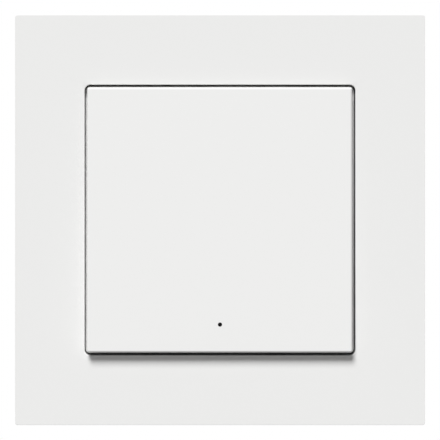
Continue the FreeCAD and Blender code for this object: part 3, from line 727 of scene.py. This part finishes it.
def leaning_circle(bm, radius, sunk):
    """Circle at the pinhole's place, sunk below the rocker's face and leaning with it."""
    depth = face_depth(pinhole_place[1]) - sunk
    circle = loop_facing_room(bm, pinhole_corners, radius, depth, pinhole_place)
    turn = Matrix.Rotation(-lean, 3, "X")
    centre = (0, -depth, pinhole_place[1])
    bmesh.ops.rotate(bm, verts=ends_of(circle), cent=centre, matrix=turn)
    return circle


def pierced(bm, face, sunk):
    """Fills a flat face anew between its rim and the pinhole."""
    rim = list(face.edges)
    bmesh.ops.delete(bm, geom=[face], context="FACES_ONLY")
    circle = leaning_circle(bm, pinhole_radius, sunk)
    bmesh.ops.triangle_fill(bm, use_beauty=True, use_dissolve=False, edges=rim + circle)
    return circle


largest = sorted(bm.faces, key=lambda face: face.calc_area())[-2:]
front, underside = sorted(largest, key=lambda face: face.calc_center_median().y)
front_circle = pierced(bm, front, 0.0)
under_circle = pierced(bm, underside, face_wall)
bmesh.ops.bridge_loops(bm, edges=front_circle + under_circle)
print("pierced:", len(bm.faces), "faces")

# %% [markdown]
# Inside the tray are the parts that make it work: two clip lugs that snap onto the housing's
# pins, two bosses that press the key switches, four stop ribs and the ribs that tie them
# together. A lug is a short spin of a small rectangle that leaves its mouth open to the wall.

# %% Lugs, bosses and ribs
pivot_depth = mm(10.4)
lug_near = mm(25.2)
lug_inner = mm(1.35)
lug_outer = mm(2.5)
lug_far = inner_half + mm(0.5)
mouth_degrees = 104
boss_radius = mm(1.6)
boss_tip = mm(13.03)
key_place = mm(15.8)
stop_place = mm(8.5)
stop_near, stop_far = mm(9.0), mm(13.0)
stop_tip = mm(12.5)
half_rib = mm(0.5)
spine_rear = mm(14.2)
round_steps = 24
rib_root = face_wall / 2

for side in (-1, 1):
    near_end = rocker_centre[0] + side * lug_near
    far_end = rocker_centre[0] + side * lug_far
    start = math.radians(mouth_degrees / 2)
    heading = Vector((0, math.cos(start), math.sin(start)))
    corners = [
        bm.verts.new(Vector((across, 0, 0)) + heading * radius + Vector((0, -pivot_depth, 0)))
        for across, radius in (
            (near_end, lug_inner), (far_end, lug_inner),
            (far_end, lug_outer), (near_end, lug_outer),
        )
    ]
    ring_end = bm.faces.new(corners)
    bmesh.ops.spin(
        bm, geom=[ring_end, *ring_end.edges, *corners], cent=(0, -pivot_depth, 0),
        axis=(1, 0, 0), dvec=(0, 0, 0), angle=math.radians(360 - mouth_degrees),
        steps=round_steps, use_duplicate=False,
    )
for side in (-1, 1):
    boss_root = face_depth(side * key_place) - rib_root
    place = Matrix.Translation((0, -(boss_tip + boss_root) / 2, side * key_place))
    bmesh.ops.create_cone(
        bm, cap_ends=True, cap_tris=False, segments=round_steps, radius1=boss_radius,
        radius2=boss_radius, depth=boss_root - boss_tip,
        matrix=place @ Matrix.Rotation(math.radians(90), 4, "X"),
    )
    for across in (-stop_place, stop_place):
        low_end, high_end = sorted((side * stop_near, side * stop_far))
        beam(
            bm, (across - half_rib, -face_depth(high_end) + rib_root, low_end),
            (across + half_rib, -stop_tip, high_end),
        )
    middle = side * (stop_near + stop_far) / 2
    beam(
        bm, (-stop_place, -face_depth(middle) + rib_root, middle - half_rib),
        (stop_place, -spine_rear, middle + half_rib),
    )
beam(
    bm, (-half_rib, -face_depth(key_place) + rib_root, -key_place),
    (half_rib, -spine_rear, key_place),
)
piece(bm, "rocker_moulding", [white_abs], "rocker", ["rocker"])

# %% [markdown]
# The pinhole is closed by a drop of the same near-black acrylic as the light pipe behind it, a
# hair below the face. The drop is painted shade, a dark plug that stands for the dark depth of the
# hole.
# An open hole would show its white wall. Filled, it is the black dot that the photograph shows.

# %% The dark plug in the pinhole, painted shade
shade_plug_radius = pinhole_radius - mm(0.005)
shade_plug_front = mm(0.02)

bm = bmesh.new()
circles = [leaning_circle(bm, shade_plug_radius, depth) for depth in (shade_plug_front, face_wall)]
bmesh.ops.bridge_loops(bm, edges=circles[0] + circles[1])
for circle in circles:
    bmesh.ops.contextual_create(bm, geom=circle)
# A dark plug of painted shade fills the pinhole.
piece(bm, "pinhole_shade_plug", [acrylic], "rocker")

# %% [markdown]
# ## Polarity marks
#
# Beside each end of a cell the rear cover has a raised plus or minus. They come from grooves cut
# in the mould, so they have the cover's own plastic and stand 0.25 mm out of it. The left cell has
# its plus end up, the right one down.

# %% Plus and minus marks on the rear cover
mark_long, mark_wide = mm(2.6), mm(0.6)
mark_rise = mm(0.25)
mark_inset = mm(3.2)
mark_below_end = mm(9.0)
mark_edge = mm(0.08)
cover_half, cover_back = half_and_depths("rear_cover")[:2]
cover_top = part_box("rear_cover")[1].z
bm = bmesh.new()
for side in (-1, 1):
    for end in (-1, 1):
        across, up = side * (cover_half - mark_inset), end * (cover_top - mark_below_end)
        bars = [(mark_long / 2, mark_wide / 2)]
        if side != end:
            bars.append((mark_wide / 2, mark_long / 2))
        for half_across, half_up in bars:
            beam(
                bm, (across - half_across, -cover_back - mark_rise, up - half_up),
                (across + half_across, -cover_back + mark_rise, up + half_up), mark_edge,
            )
piece(bm, "polarity_marks", [housing_blend], "wall_unit")

# %% [markdown]
# ## Battery cells
#
# A cell is turned round its axis, so it is a spin: a half profile with the crimped rim of the can,
# the sleeve's shrunk edge, and the plus contact. The profile is in three runs, one per material,
# and each run starts where the last one ends, so that the cell is one closed skin.

# %% Half profile of a cell, in millimetres from its axis and up from its minus end
minus_cap = [(0.0, 0.12), (3.3, 0.12), (3.55, 0.0), (4.2, 0.0), (4.45, 0.15), (4.5, 0.5)]
sleeve = [
    (4.5, 0.5), (4.62, 0.3), (4.95, 0.42), (5.17, 0.66), (5.25, 1.0), (5.25, 42.5),
    (5.17, 42.84), (4.95, 43.1), (4.55, 43.25), (4.3, 43.12),
]
plus_cap = [
    (4.3, 43.12), (4.1, 43.22), (2.6, 43.22), (2.35, 43.45), (1.98, 43.5), (1.9, 43.62),
    (1.9, 44.2), (1.78, 44.4), (1.5, 44.5), (0.0, 44.5),
]


def turned_profile(bm, points, foot, up, material, steps=48):
    """Spins a half profile a full turn about an upright axis."""
    corners = [bm.verts.new(foot + Vector((mm(out), 0, up * mm(high)))) for out, high in points]
    edges = [bm.edges.new(pair) for pair in zip(corners, corners[1:])]
    before = len(bm.faces)
    bmesh.ops.spin(
        bm, geom=corners + edges, cent=foot, axis=(0, 0, 1), dvec=(0, 0, 0),
        angle=math.radians(360), steps=steps, use_merge=True, use_duplicate=False,
    )
    for face in list(bm.faces)[before:]:
        face.material_index = material


def cell_piece(side, up, film):
    """One cell, plus end up or down, in the place of its CAD node."""
    node = f"battery_{side}"
    low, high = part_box(node)
    foot = (low + high) / 2
    foot.z = low.z if up > 0 else high.z
    bm = bmesh.new()
    for points, material in ((minus_cap, 0), (sleeve, 1), (plus_cap, 0)):
        turned_profile(bm, points, foot, up, material)
    piece(bm, f"cell_{side}", [nickel_plate, film], "wall_unit", [node])


cell_piece("left", 1, left_film)
cell_piece("right", -1, right_film)

# %% [markdown]
# ## Springs
#
# A coil is a spin that also climbs: a small ring of wire is carried round the axis while it
# rises. Where the coil is a cone, its turns are then drawn in towards the top.

# %% A coil that climbs
wire_corners = 12
steps_a_turn = 36


def climbing_coil(bm, axis, foot, top, wire, turns, wide, narrow):
    """Coil of round wire about an upright axis, between two heights and two radii."""
    ring = bmesh.ops.create_circle(
        bm, segments=wire_corners, radius=wire,
        matrix=Matrix.Translation((axis.x + wide, axis.y, foot + wire))
        @ Matrix.Rotation(math.radians(90), 4, "X"),
    )["verts"]
    ring_edges = edges_at(ring)
    steps = int(steps_a_turn * turns)
    climb = top - foot - 2 * wire
    before = len(bm.verts) - len(ring)
    bmesh.ops.contextual_create(bm, geom=ring_edges)
    spun = bmesh.ops.spin(
        bm, geom=ring + ring_edges, cent=axis, axis=(0, 0, 1), dvec=(0, 0, climb / steps),
        angle=math.radians(360 * turns), steps=steps, use_duplicate=False,
    )
    last = [item for item in spun["geom_last"] if isinstance(item, bmesh.types.BMEdge)]
    bmesh.ops.contextual_create(bm, geom=last)
    bm.verts.ensure_lookup_table()
    for corner in bm.verts[before:]:
        share = (corner.co.z - foot) / (top - foot)
        out = Vector((corner.co.x - axis.x, corner.co.y - axis.y, 0))
        corner.co -= out.normalized() * (wide - narrow) * share


# %% [markdown]
# The minus contact of a cell is one strip of plated steel with a conical coil riveted to it, wide
# at the strip and narrow at the cell.

# %% Strip and coil of the minus contacts
strip_thick = mm(0.4)
strip_out = mm(2.893)
strip_edge = mm(0.08)
tab_front, tab_rear = mm(9.0), mm(6.6)


def contact_spring(side, turned):
    """Strip, tab and coil of one cell's minus contact, the right one turned half round."""
    low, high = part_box("battery_spring_left")
    cell_low, cell_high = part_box("battery_left")
    axis = (cell_low + cell_high) / 2
    axis.z = 0
    strip_top = low.z + strip_thick
    strip_end = 2 * axis.x - low.x
    bm = bmesh.new()
    climbing_coil(
        bm, axis, strip_top, high.z, wire=mm(0.3), turns=2.5, wide=mm(3.4), narrow=mm(1.9)
    )
    for near_corner, far_corner in (
        ((low.x, axis.y - strip_out, low.z), (strip_end, high.y, strip_top)),
        ((strip_end - strip_thick, -tab_front, low.z), (high.x, -tab_rear, strip_top)),
    ):
        beam(bm, near_corner, far_corner, strip_edge)
    turn = Matrix.Rotation(math.radians(turned), 3, "Y")
    bmesh.ops.rotate(bm, verts=bm.verts, cent=(0, 0, 0), matrix=turn)
    name = f"battery_spring_{side}"
    piece(bm, f"contact_spring_{side}", [nickel_plate], "wall_unit", [name])


contact_spring("left", 0)
contact_spring("right", 180)

# %% [markdown]
# Each key switch has a small even coil behind its plunger. One end stands on the switch's floor
# and the other presses on the plunger, so it gets shorter and longer as the rocker tilts. The coil
# is drawn upright and then laid down, so that it points out from the wall.

# %% Coils of the key switches
def key_spring(end):
    """Coil of one key switch, between the unit and its plunger."""
    low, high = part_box(f"switch_spring_{end}")
    middle = (low + high) / 2
    radius = mm(1.3)
    bm = bmesh.new()
    climbing_coil(
        bm, Vector(), -high.y, -low.y, wire=mm(0.125), turns=2, wide=radius, narrow=radius
    )
    lay = Matrix.Rotation(math.radians(90), 3, "X")
    bmesh.ops.rotate(bm, verts=bm.verts, cent=(0, 0, 0), matrix=lay)
    bmesh.ops.translate(bm, verts=bm.verts, vec=(middle.x, 0, middle.z))
    name = f"key_spring_{end}"
    made = piece(bm, name, [spring_steel], None, [f"switch_spring_{end}"])
    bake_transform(made)


key_spring("top")
key_spring("bottom")

# %% [markdown]
# ## Studio
#
# The photograph has a pure white ground, one broad soft light high on the left, and just enough
# fill that the shadow below the rocker keeps a quarter of the face's brightness. The light is a
# sun, because it has to fall evenly on a face seen square on, and its disc is as wide as the soft
# edge of that shadow says. The ground is a white world, which is brighter to the camera than it is
# as a light. The floor lies well below, out of the photograph's view. It is hidden from diffuse
# rays, because the light that it throws up would fill the shadow. Two soft lights behind the
# switch serve the views of its back.

# %% View, world and floor
fill_strength = 0.2
ground_strength = 1.0
floor_height = -0.6
floor_half = 3.0

scene = bpy.context.scene
scene.view_settings.view_transform = "Standard"
scene.view_settings.look = "None"

world = bpy.data.worlds.new("white_studio")
scene.world = world
world.use_nodes = True
tree = world.node_tree
tree.nodes.clear()
seen = add_node(tree, "ShaderNodeLightPath").outputs["Is Camera Ray"]
white = (1, 1, 1, 1)
fill, ground = [
    add_node(tree, "ShaderNodeBackground", {"Color": white, "Strength": strength})
    for strength in (fill_strength, ground_strength)
]
mixed = add_node(
    tree, "ShaderNodeMixShader",
    {0: seen, 1: fill.outputs["Background"], 2: ground.outputs["Background"]},
)
add_node(tree, "ShaderNodeOutputWorld", {"Surface": mixed.outputs["Shader"]})


def floor_paint():
    """Matt white paint of the studio floor, with a faint roller texture."""
    material, tree, where = new_material("matt_white_floor_paint")
    roller = noise(tree, where, 6, detail=3.0)
    finish_surface(tree, {
        "Base Color": two_tones(tree, roller, "#dededc", "#dadad8"),
        "Normal": bumped(tree, roller, 0.3, 0.1), "Roughness": 0.8,
    })
    return material


floor_mesh = bpy.data.meshes.new("studio_floor")
bm = bmesh.new()
bmesh.ops.create_grid(
    bm, x_segments=1, y_segments=1, size=floor_half,
    matrix=Matrix.Translation((0, 0, floor_height)),
)
bm.to_mesh(floor_mesh)
bm.free()
floor_mesh.materials.append(floor_paint())
floor = bpy.data.objects.new("studio_floor", floor_mesh)
scene.collection.objects.link(floor)
floor.visible_diffuse = False

# %% Lights
lamp_gap = 0.8


def sun(name, toward, strength, disc_degrees):
    """Soft directional light that shines along one direction."""
    data = bpy.data.lights.new(name, "SUN")
    data.energy = strength
    data.angle = math.radians(disc_degrees)
    light = bpy.data.objects.new(name, data)
    light.rotation_euler = Vector(toward).to_track_quat("-Z", "Y").to_euler()
    light.location = -lamp_gap * Vector(toward)
    scene.collection.objects.link(light)


above_wall = math.radians(42.5)
left_of_up = math.radians(13.6)
key_direction = (
    math.cos(above_wall) * math.sin(left_of_up),
    math.sin(above_wall),
    -math.cos(above_wall) * math.cos(left_of_up),
)
sun("key_upper_left", key_direction, strength=3.46, disc_degrees=24)
sun("soft_behind_right", (-0.5, -0.85, -0.05), strength=1.6, disc_degrees=40)
sun("soft_behind_left", (0.85, -0.5, -0.05), strength=0.9, disc_degrees=40)
print("key light along", [round(part, 2) for part in key_direction])

# %% [markdown]
# ## Camera
#
# The photograph looks straight at the face with a long lens: the frame's far and near edges
# coincide. The camera stands 0.65 m in front, and its lens is worked out so that the frame takes
# up the same 410 of 440 pixels.

# %% Camera
picture_pixels = 440
frame_pixels = 410
camera_gap = 0.65
sensor = 36.0

camera_data = bpy.data.cameras.new("front_camera")
camera_data.sensor_width = sensor
field = 2 * frame_half * picture_pixels / frame_pixels
camera_data.lens = sensor * camera_gap / field
camera = bpy.data.objects.new("front_camera", camera_data)
camera.location = (0, -frame_front - camera_gap, 0)
camera.rotation_euler = (math.radians(90), 0, 0)
scene.collection.objects.link(camera)
scene.camera = camera
print("lens", round(camera_data.lens, 1), "mm, field", round(field * 1000, 2), "mm")

# %% [markdown]
# ## End


print("scene built")
